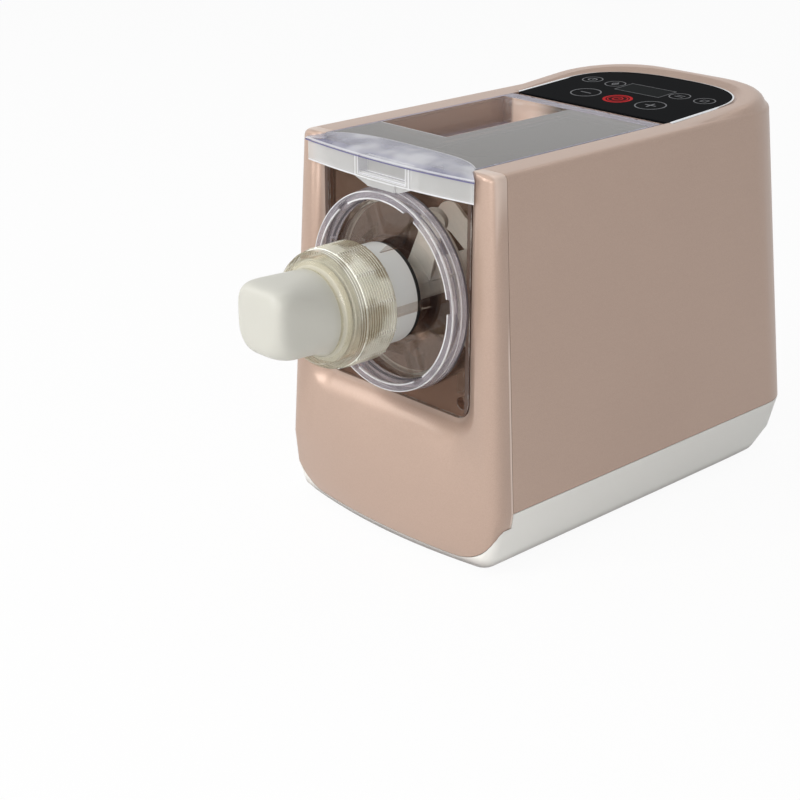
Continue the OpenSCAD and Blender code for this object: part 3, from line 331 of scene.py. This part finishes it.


# The nut's ridges get painted highlights on their crests, painted shade in their grooves, and painted glints in
# patches
def ridgedNut(name, *looks):
    look = nutRidges
    made = clearPlastic(name, *looks)
    x, y, z = made.drawn()
    back = y - look["start"]
    turn = (back / look["pitch"]).fraction()
    ridges = made.smooth(back, -look["before"], 0.4 - look["before"])
    ridges = ridges * made.smooth(made.fromAxis(x, z), look["outside"], look["outside"] + 0.5)
    low = made.smooth(abs(turn - look["groove"]), 0.30, 0.20) * ridges
    high = made.smooth(abs(turn - look["crest"]), 0.22, 0.10) * ridges
    glintPatches = made.smooth(made.noise(34.0, 2.0), 0.42, 0.56)
    light = made.film(look["white"], 0.12)
    shader = made.blend(low * (0.85 - glintPatches * 0.7), made.clear, made.film(look["dark"], 0.3))
    shader = made.blend(glintPatches * ridges * 0.3, shader, light)
    letLampsIn(made, made.blend(high * (glintPatches * 0.7 + 0.3), shader, light), look["lampShare"])


lidMarks = {"creaseMiddle": 20.5, "creaseSide": 24, "side": 77, "plateSide": 66.8, "plateBack": 173, "top": 267.2,
            "recessFront": 52.4, "recessSide": -4.4, "recessBack": 172.6, "recessRamp": (-60, -56),
            "skirtTop": 264.3, "skirtFoot": 250.9, "rimLine": 265.7, "pocketSide": 22.2, "pocketRib": 25,
            "pocketTop": 263.4, "pocketFoot": 252.7, "edgeSide": 68.4,
            "smokeShare": 0.82, "skirtShare": 0.42, "whiteShare": 0.6, "violetShare": 0.8, "lampShare": 0.6,
            "recessReflection": srgb(236, 214, 200), "smoke": srgb(106, 103, 96), "skirt": srgb(226, 226, 224),
            "noseDark": srgb(182, 184, 204), "noseLight": srgb(242, 242, 248),
            "white": srgb(236, 236, 240), "violet": srgb(98, 94, 142)}


# The lid is clear round its rim, nose and recess, and smoky over the rest of its plate
def smokyLid(name, *looks):
    look = lidMarks
    made = clearPlastic(name, *looks)
    x, y, z = made.drawn()
    crease = look["creaseMiddle"] - (x / look["side"]) ** 4 * look["creaseSide"]
    behind = y - crease
    plate = made.smooth(behind, 0, 0.8) * made.smooth(y, look["plateBack"] + 1, look["plateBack"])
    plate = plate * made.smooth(abs(x), look["plateSide"] + 0.6, look["plateSide"])
    recess = made.smooth(x, look["recessSide"] + 1, look["recessSide"])
    recess = recess * made.smooth(y, look["recessFront"] - 1, look["recessFront"])
    recess = recess * made.smooth(y, look["recessBack"] + 1, look["recessBack"])
    slope = made.smooth(x, *look["recessRamp"], 0.25, 0.85)
    smoke = (plate * (1 - recess) * made.smooth(z, 262, 264)).highest(recess * slope)
    # Painted reflection: the recess's far side gets a pale shell-coloured film
    tone = made.mix(made.smooth(x, -40, -8), look["recessReflection"], look["smoke"])
    smoked = made.film(made.mix(recess, look["smoke"], tone), 0.25, Specular_IOR_Level=0.2)
    front = made.smooth(y, 6, 3)
    # Painted reflection: a pale film over the front skirt
    skirt = front * made.smooth(z, 264.5, 263.5)
    shader = made.blend(skirt * look["skirtShare"], made.clear, made.film(look["skirt"], 0.2))
    shader = made.blend(smoke * look["smokeShare"], shader, smoked)
    # Painted reflection: a pale violet film in streaks over the nose
    nose = made.smooth(behind, 0, -1) * made.smooth(z, 264.5, 266.5)
    reflectionStreaks = made.smooth(made.noise(26.0, 2.0), 0.36, 0.66)
    noseReflection = made.film(made.mix(reflectionStreaks, look["noseDark"], look["noseLight"]), 0.2)
    shader = made.blend(nose * (reflectionStreaks * 0.3 + 0.25), shader, noseReflection)

    # Its moulded edges are too fine to round, and get painted reflections instead: white and violet lines
    top = made.smooth(z, look["top"], look["top"] + 0.6)
    pocket = made.line(abs(x), look["pocketSide"]) * made.within(z, 252.4, 263.6)
    pocket = pocket + made.line(abs(x), look["pocketRib"], 0.3) * made.within(z, 250.5, 264)
    across = made.line(z, look["pocketTop"], 0.35) + made.line(z, look["pocketFoot"])
    pocket = pocket + across * made.within(abs(x), -1, 22)
    white = (made.line(z, look["skirtFoot"]) + made.line(z, look["rimLine"], 0.3) + pocket).lowest(1) * front
    white = white + made.line(behind, 0.2, 0.3) * top * made.smooth(abs(x), 68, 66)
    white = white + made.line(y, 51.6, 0.3) * made.within(x, -67, -4) * top
    violet = made.line(z, look["skirtTop"], 0.45) * front
    violet = violet + made.line(abs(x), look["edgeSide"], 0.45) * top * made.within(y, 8, 176)
    violet = violet + made.line(y, 174, 0.3) * top * made.within(abs(x), -1, 68)
    shader = made.blend(white.lowest(1) * look["whiteShare"], shader, made.film(look["white"], 0.15))
    shader = made.blend(violet.lowest(1) * look["violetShare"], shader, made.film(look["violet"], 0.15))
    letLampsIn(made, shader, look["lampShare"])


# Rounded edges carry painted reflections: bright along most of their length, and deeper in places
def clearEdge(name, bright, deep, share, calm=None):
    made = finish(name)
    along = made.noise(55.0, 2.0)
    fine = made.noise(300.0, 2.0)
    if calm:        # fainter towards the axis
        x, y, z = made.drawn()
        inner, outer, least = calm
        share = made.smooth(made.fromAxis(x, z), inner, outer, least, share)
    made.give(Base_Color=made.mix(made.smooth(along, 0.42, 0.6), bright, deep), Roughness=fine * 0.2 + 0.05)
    made.open = made.node("BsdfTransparent", Color=(0.97, 0.97, 0.98, 1.0))
    letLampsIn(made, made.blend(made.smooth(fine, 0.3, 0.7, 0.75, 1.25) * share, made.open, made.own()))


# Marks on the glass, measured in millimetres along and across its plane
panel = {"tilt": 2.8, "front": 191.5, "line": 0.34, "fineLine": 0.3, "ring": 11.0, "smallRing": 7.6, "power": 9.8,
         "window": (20.5, 10.5, 60), "rings": (-30, 29, 30), "smallRings": (-52, -30, 30, 52, 62),
         "glass": (srgb(17, 18, 20), srgb(23, 24, 26)), "display": srgb(34, 36, 37), "marks": srgb(150, 151, 154),
         "glow": srgb(140, 26, 30), "red": srgb(196, 44, 48)}


def touchGlass():
    made = finish("touchGlass")
    across, y, z = made.drawn()
    along = (y - panel["front"]) / cos(radians(panel["tilt"]))
    fine = panel["fineLine"]

    def spread(cx, cy):
        return ((across - cx) ** 2 + (along - cy) ** 2).root()

    def ring(cx, cy, radius, width=panel["line"]):
        return made.line(spread(cx, cy), radius, width, 0.28)

    def bar(cx, cy, halfX, halfY):
        return made.smooth((abs(across - cx) - halfX).highest(abs(along - cy) - halfY), 0.25, 0)

    # A minus and a plus in the near rings
    first, row, last = panel["rings"]
    marks = ring(first, row, panel["ring"]).highest(ring(last, row, panel["ring"]))
    marks = marks.highest(bar(last, row, 4.6, 0.5)).highest(bar(last, row, 0.5, 4.6))
    marks = marks.highest(bar(first, row, 4.6, 0.5))

    # A dial, a drop, two bars and a square in the far ones
    *columns, far = panel["smallRings"]
    for cx in columns:
        marks = marks.highest(ring(cx, far, panel["smallRing"], 0.26))
    dial, drop, bars, square = columns
    marks = marks.highest(ring(dial, far, 3.2, fine)).highest(bar(dial, far + 1.2, 0.35, 1.4))
    marks = marks.highest(ring(drop, far, 2.2, fine)).highest(bar(drop, far, 0.35, 4.2))
    marks = marks.highest(bar(bars, far - 1.6, 3.4, 0.35)).highest(bar(bars, far + 1.6, 3.4, 0.35))
    marks = marks.highest(bar(square, far, 2.6, 2.6) * (1 - bar(square, far, 1.9, 1.9)))
    wide, deep, middle = panel["window"]
    window = bar(0, middle, wide - 0.6, deep - 0.6)
    marks = marks.highest(bar(0, middle, wide, deep) * (1 - window))

    # The red power key: two rings, an open circle and its bar, and a painted red glow inside it
    power = panel["power"]
    red = ring(0, row, power, 0.9).highest(ring(0, row, power - 2.6, 0.35))
    gap = 1 - bar(0, row + 4, 1.4, 3)
    red = red.highest(ring(0, row, 3.6, 0.45) * gap).highest(bar(0, row + 3.2, 0.45, 2.2))
    glow = made.smooth(spread(0, row), power, 0) * 0.35

    dust = made.noise(700.0)
    ink = made.mix(dust, *panel["glass"])
    ink = made.mix(window, ink, panel["display"])
    ink = made.mix(marks * 0.75, ink, panel["marks"])
    ink = made.mix(glow, ink, panel["glow"])
    ink = made.mix(red, ink, panel["red"])
    made.give(Base_Color=ink, Roughness=dust * 0.05 + (marks * 0.15 + 0.05))
    made.give(Specular_IOR_Level=0.0, Coat_Weight=0.035, Coat_Roughness=0.03)


paint = {"deep": srgb(180, 155, 140), "pale": srgb(197, 172, 157), "lit": srgb(232, 214, 202),
         "flake": 2600.0, "rough": 0.33, "metal": 0.2, "coat": 0.18,
         "reveal": {"depth": 0.8, "side": 92, "foot": 84, "share": 0.55},
         "seam": {"side": 95, "back": 9.9, "share": 0.75}}


# Champagne paint: fine metal flake in a satin coat, and on the fascia painted highlights on the window's reveal and
# along the seam
def champagne(name, lit=False):
    made = finish(name)
    flake = made.node("TexVoronoi", {"feature": "F1"}, "Color", Vector=made.place(), Scale=paint["flake"])
    spark = made.axes(flake)[0]
    cloud = made.noise(5.0, 2.0)
    tone = made.mix(spark * 0.5 + cloud * 0.5, paint["deep"], paint["pale"])
    if lit:
        # Painted highlights: the window's reveal and a line along the seam are lighter
        reveal, seam = paint["reveal"], paint["seam"]
        x, y, z = made.drawn()
        x = abs(x)
        inside = made.smooth(y, reveal["depth"], 3.0) * made.smooth(x, reveal["side"], reveal["side"] - 2)
        inside = inside * made.smooth(z, reveal["foot"], reveal["foot"] + 6)
        edge = made.smooth(x, seam["side"], seam["side"] + 2) * made.line(y, seam["back"], 0.5, 0.4)
        tone = made.mix((inside * reveal["share"] + edge * seam["share"]).lowest(1), tone, paint["lit"])
    made.give(Base_Color=tone, Roughness=spark * 0.10 + (cloud * 0.05 + paint["rough"]),
              Metallic=spark * 0.3 + paint["metal"], Normal=made.bump(made.noise(260.0, 2.0), 0.10, 0.00008))
    made.give(Coat_Weight=paint["coat"], Coat_Roughness=0.12, Specular_IOR_Level=0.2)


# Random tones of the white base, and the grey of its painted shade at the foot
skirtTone = {"deep": srgb(245, 244, 239), "pale": srgb(251, 250, 245), "foot": srgb(168, 162, 158),
             "footTop": 15, "footEnd": 4}


# Painted shade greys the white base towards the underside, where it turns in
def baseWhite():
    made = moulded("whiteBase", skirtTone["pale"], 0.5, 1200.0, 0.03, 0.16)
    x, y, z = made.drawn()
    plain = made.mix(made.noise(9.0), skirtTone["deep"], skirtTone["pale"])
    foot = made.smooth(z, skirtTone["footTop"], skirtTone["footEnd"])
    made.give(Base_Color=made.mix(foot, plain, skirtTone["foot"]))


# Colour, roughness, grain, change of tone, relief and coat of each opaque moulding
mouldings = {
    "frameBrown": (srgb(146, 108, 88), 0.5, 700.0, 0.08, 0.2),
    "nozzleWhite": (srgb(207, 206, 197), 0.42, 600.0, 0.025, 0.06),
    "barrelWhite": (srgb(226, 228, 226), 0.3, 600.0, 0.03, 0.06, 0.15),
    "paddleWhite": (srgb(232, 233, 228), 0.4, 700.0, 0.03, 0.1),
    "blackMoulding": (srgb(34, 34, 36), 0.5, 900.0, 0.2, 0.25),
    "sealBlack": (srgb(22, 22, 23), 0.6, 900.0, 0.2, 0.2),
    "sealPale": (srgb(205, 205, 200), 0.55, 900.0, 0.05, 0.15),
    "gearNylon": (srgb(222, 221, 210), 0.45, 700.0, 0.04, 0.12),
    "footRubber": (srgb(30, 30, 31), 0.8, 1500.0, 0.2, 0.4),
    "boardGreen": (srgb(28, 84, 56), 0.45, 500.0, 0.15, 0.2),
}

# Colour seen through, rim colour, veil, rim by facing, and the tint of what it mirrors
clears = {
    "clearCover": (ringedCover, (0.975, 0.96, 0.945, 1.0), srgb(122, 114, 118), 0.02, (0.76, 0.98, 0.6),
                   srgb(222, 204, 192)),
    "clearBowl": (edgedBowl, (0.97, 0.95, 0.93, 1.0), srgb(150, 134, 124), 0.02, (0.76, 0.98, 0.5),
                  srgb(190, 160, 142)),
    "clearNut": (ridgedNut, (0.985, 0.97, 0.93, 1.0), srgb(172, 166, 146), 0.08, (0.66, 0.97, 0.6),
                 srgb(250, 250, 242)),
    "clearLid": (smokyLid, (0.97, 0.975, 0.97, 1.0), srgb(120, 118, 160), 0.03, (0.62, 0.96, 0.7)),
}

# Bright and deep colour of the painted edge reflections, share, and for the cover the radii between which it grows
# from its least share
edges = {
    "lidEdge": (srgb(228, 228, 236), srgb(104, 100, 150), 0.7),
    "coverEdge": (srgb(240, 240, 242), srgb(88, 84, 96), 0.7, (56, 60, 0.14)),
    "nutEdge": (srgb(240, 239, 230), srgb(140, 134, 112), 0.6),
    "bowlEdge": (srgb(205, 203, 200), srgb(110, 104, 104), 0.4),
}


def makeFinishes():
    champagne("champagnePaint")
    champagne("fasciaPaint", True)
    baseWhite()
    for name, values in mouldings.items():
        moulded(name, *values)
    steelLike("plainSteel", srgb(176, 178, 182), 0.3)
    steelLike("bearingBronze", srgb(176, 142, 88), 0.36)
    for name, (make, *looks) in clears.items():
        make(name, *looks)
    for name, values in edges.items():
        clearEdge(name, *values)
    touchGlass()

    trim = finish("brightTrim")
    streak = trim.noise(300.0, 2.0)
    trim.give(Base_Color=trim.mix(streak, srgb(196, 198, 202), srgb(226, 228, 230)), Roughness=streak * 0.08 + 0.12)
    trim.give(Metallic=1.0)


studio = {"dim": (0.96, 0.98, 1.0, 1), "dimPower": 0.3, "white": (1, 1, 1, 1), "floorSize": 14,
          "paper": ((0.93, 0.93, 0.93, 1), (0.97, 0.97, 0.97, 1)), "floorGlow": 0.94}


# 1 for the rays that show the background: straight ones, and those by way of gloss or clear plastic
def backgroundRays(nodes):
    path = nodes.new("ShaderNodeLightPath")
    straight, glossy, through = [Wire(nodes, path.outputs[ray]) for ray in
                                 ("Is Camera Ray", "Is Glossy Ray", "Is Transmission Ray")]
    return straight.highest(glossy).highest(through)


def makeWorld():
    world = bpy.data.worlds.new("studio")
    scene.world = world
    world.use_nodes = True
    nodes, links = world.node_tree.nodes, world.node_tree.links
    nodes.clear()
    dim, white = nodes.new("ShaderNodeBackground"), nodes.new("ShaderNodeBackground")
    dim.inputs[0].default_value, dim.inputs[1].default_value = studio["dim"], studio["dimPower"]
    white.inputs[0].default_value, white.inputs[1].default_value = studio["white"], 1.0
    both = nodes.new("ShaderNodeMixShader")
    links.new(backgroundRays(nodes).socket, both.inputs[0])
    links.new(dim.outputs[0], both.inputs[1])
    links.new(white.outputs[0], both.inputs[2])
    links.new(both.outputs[0], nodes.new("ShaderNodeOutputWorld").inputs[0])


def makeFloor():
    bpy.ops.mesh.primitive_plane_add(size=studio["floorSize"], location=(0, 0, 0))
    floor = bpy.context.object
    floor.name = "studioFloor"
    made = Finish("floorPaper")
    made.give(Base_Color=made.mix(made.noise(1.2, 2.0), *studio["paper"]), Roughness=0.9)
    glow = made.node("Emission", Color=studio["white"], Strength=1.0)
    made.surface(made.blend(backgroundRays(made.nodes) * studio["floorGlow"], made.own(), glow))
    floor.data.materials.append(made.material)


def deselect():
    if bpy.context.object and bpy.context.object.mode != "OBJECT":
        bpy.ops.object.mode_set(mode="OBJECT")
    bpy.ops.object.select_all(action="DESELECT")


def pick(piece):
    deselect()
    piece.select_set(True)
    bpy.context.view_layer.objects.active = piece


def applyAll(piece):
    pick(piece)
    for modifier in list(piece.modifiers):
        bpy.ops.object.modifier_apply(modifier=modifier.name)


# A piece with two finishes keeps the second for its rounded edges
def dress(piece, name, body, slot, finishName, *nodes):
    piece.name = name
    piece.data.name = name
    if len(piece.data.materials) == 2:
        piece.data.materials[0] = finishes[finishName]
    else:
        piece.data.materials.clear()
        piece.data.materials.append(finishes[finishName])
    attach(piece, body)
    if nodes:
        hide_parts(*nodes)
    return piece


mending = {"weld": 0.000004, "flatAngle": 0.6}


def copyOf(node, flat=True):
    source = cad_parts[node]
    copy = source.copy()
    copy.data = source.data.copy()
    copy.parent = None
    for key in list(copy.keys()):
        del copy[key]
    scene.collection.objects.link(copy)
    pick(copy)
    bpy.ops.object.mode_set(mode="EDIT")
    bpy.ops.mesh.select_all(action="SELECT")
    bpy.ops.mesh.remove_doubles(threshold=mending["weld"])
    if flat:
        bpy.ops.mesh.dissolve_limited(angle_limit=radians(mending["flatAngle"]))
    bpy.ops.object.mode_set(mode="OBJECT")
    return copy


# Wide faces stay flat beside their rounded edges
def keepFlat(piece):
    pick(piece)
    flat = piece.modifiers.new("flat", "WEIGHTED_NORMAL")
    flat.mode = "FACE_AREA"
    flat.keep_sharp = True
    applyAll(piece)


def soften(piece, edge, steps, sharp, edgeFinish):
    pick(piece)
    bevel = piece.modifiers.new("edges", "BEVEL")
    bevel.width = edge
    bevel.segments = steps
    bevel.limit_method = "ANGLE"
    bevel.angle_limit = radians(sharp)
    bevel.use_clamp_overlap = True
    bevel.harden_normals = False
    if edgeFinish:
        piece.data.materials.clear()
        for _ in range(2):
            piece.data.materials.append(finishes[edgeFinish])
        bevel.material = 1
    applyAll(piece)


def refined(name, node, body, slot, finishName, edge, steps=2, sharp=40, smooth=40, edgeFinish=None,
            flat=True, level=True):
    piece = copyOf(node, flat)
    if edge:
        soften(piece, edge, steps, sharp, edgeFinish)
    pick(piece)
    bpy.ops.object.shade_smooth_by_angle(angle=radians(smooth))
    if edge and level:
        keepFlat(piece)
    return dress(piece, name, body, slot, finishName, node)


# Remeshed finely and relaxed, so that its faces run into each other as a soft moulding's do
def melted(name, node, body, slot, finishName, cell, rounds, pull):
    piece = copyOf(node)
    remesh = piece.modifiers.new("cells", "REMESH")
    remesh.mode = "VOXEL"
    remesh.voxel_size = cell
    relax = piece.modifiers.new("relax", "SMOOTH")
    relax.factor = pull
    relax.iterations = rounds
    applyAll(piece)
    pick(piece)
    bpy.ops.object.shade_smooth()
    return dress(piece, name, body, slot, finishName, node)


# The pieces inside keep their drawn shape, with a finish each
insideFinish = {
    "touch_board": "boardGreen", "display_module": "blackMoulding", "lid_hinge_pins": "plainSteel",
    "lid_switch": "blackMoulding", "shaft_bearings": "bearingBronze", "output_gear": "gearNylon",
    "middle_gear": "gearNylon", "middle_axle": "plainSteel", "motor_pinion": "bearingBronze",
    "motor_can": "plainSteel", "motor_end_cap": "blackMoulding", "motor_shaft": "plainSteel",
    "cooling_fan": "blackMoulding", "gearbox_housing": "blackMoulding", "gearbox_cover": "blackMoulding",
    "gearbox_screws": "plainSteel", "power_board": "boardGreen", "cable_gland": "sealBlack",
    "base_screws": "plainSteel", "rubber_feet": "footRubber", "drive_shaft": "plainSteel",
    "bowl_seal": "sealBlack", "cover_gasket": "sealPale", "barrel_seal": "sealBlack",
    "lid_seal": "sealPale", "feed_screw": "paddleWhite", "shaping_disc": "paddleWhite",
}


def dressInside():
    for node, finishName in insideFinish.items():
        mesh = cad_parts[node].data
        mesh.materials.clear()
        mesh.materials.append(finishes[finishName])
        pick(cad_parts[node])
        bpy.ops.object.shade_smooth_by_angle(angle=radians(35))


# What can be changed on each piece: lengths in metres, angles in degrees
outside = {"body": "base", "edge": 0.0006, "sharp": 60, "smooth": 50}
shellSkin = {**outside, "node": "main_housing", "slot": "shell_paint", "finishName": "champagnePaint"}
fasciaSkin = {**outside, "node": "front_fascia", "slot": "shell_paint", "finishName": "fasciaPaint", "level": False}
baseSkirt = {**outside, "node": "base_tray", "slot": "base_white", "finishName": "whiteBase"}
innerFrame = {"node": "inner_frame", "body": "base", "slot": "frame_brown", "finishName": "frameBrown",
              "edge": 0.0004}
glass = {"node": "control_panel", "body": "base", "slot": "panel_glass", "finishName": "touchGlass",
         "edge": 0.0003}
glassTrim = {"node": "panel_trim", "body": "base", "slot": "bright_trim", "finishName": "brightTrim", "edge": 0,
             "smooth": 48, "flat": False}
lid = {"node": "lid", "body": "lid", "slot": "clear_plastic", "finishName": "clearLid", "edge": 0.0006,
       "sharp": 28, "edgeFinish": "lidEdge"}
bowl = {"node": "mixing_bowl", "body": "base", "slot": "clear_plastic", "finishName": "clearBowl", "edge": 0.0005,
        "sharp": 50, "edgeFinish": "bowlEdge"}
cover = {"node": "front_cover", "body": "cover", "slot": "clear_plastic", "finishName": "clearCover", "edge": 0.0006,
         "smooth": 30, "edgeFinish": "coverEdge"}
feedBarrel = {"node": "feed_barrel", "body": "cover", "slot": "white_plastic", "finishName": "barrelWhite",
              "edge": 0.0004, "smooth": 30}
lockingNut = {"node": "locking_nut", "body": "nut", "slot": "clear_nut", "finishName": "clearNut", "edge": 0.00022,
              "steps": 1, "smooth": 30, "edgeFinish": "nutEdge"}
elbowNozzle = {"node": "nozzle", "body": "nozzle", "slot": "white_plastic", "finishName": "nozzleWhite",
               "cell": 0.0009, "rounds": 90, "pull": 0.5}
mixingPaddle = {"node": "mixing_paddle", "body": "drive", "slot": "white_plastic", "finishName": "paddleWhite",
                "edge": 0.0008}

makeCamera()
makeLights()
makeFinishes()
makeWorld()
makeFloor()
print("stage: camera, lights, floor and finishes")

dressInside()
refined("shellSkin", **shellSkin)
refined("fasciaSkin", **fasciaSkin)
refined("baseSkirt", **baseSkirt)
refined("innerFrame", **innerFrame)
refined("touchGlass", **glass)
refined("glassTrim", **glassTrim)
print("stage: shells, frame and panel")

refined("clearLid", **lid)
refined("clearBowl", **bowl)
refined("clearCover", **cover)
refined("feedBarrel", **feedBarrel)
refined("lockingNut", **lockingNut)
melted("elbowNozzle", **elbowNozzle)
refined("mixingPaddle", **mixingPaddle)
print("stage: clear parts, nozzle and paddle")
